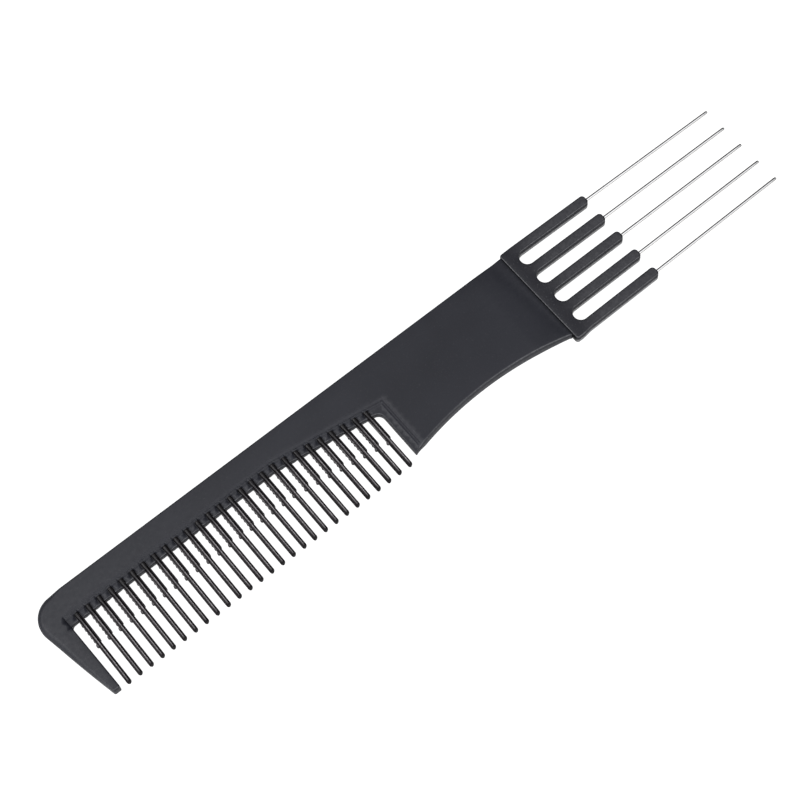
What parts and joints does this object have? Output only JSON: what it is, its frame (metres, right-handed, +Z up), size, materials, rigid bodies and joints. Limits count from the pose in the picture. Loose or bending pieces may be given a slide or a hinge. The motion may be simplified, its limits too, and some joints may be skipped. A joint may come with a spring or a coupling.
{
  "type": "pin tail comb",
  "caption": "Flat plastic hair comb with a toothed head, a waisted grip and, at the other end, a fork of slender fingers that each hold a straight steel lifting pin.",
  "frame": {"origin": "under the middle of the comb's outline, in the plane of the grip's underside, which is the table", "axes": "+X along the comb from the guard tooth to the pin tips, +Y from the tooth tips to the straight back, +Z up, square to the flat faces"},
  "size_m": [0.205, 0.0292, 0.0033],
  "materials": {
    "body_plastic": "fine matte moulded charcoal plastic, slightly rubbed at the edges",
    "holder_plastic": "matte moulded charcoal plastic, a shade lighter and smoother than the comb body",
    "pin_steel": "polished stainless steel wire, drawn lengthwise"
  },
  "bodies": {
    "root": {"comb_body": "body_plastic", "pick_holder": "holder_plastic", "pick_pin_1": "pin_steel", "pick_pin_2": "pin_steel", "pick_pin_3": "pin_steel", "pick_pin_4": "pin_steel", "pick_pin_5": "pin_steel"}
  },
  "joints": []
}
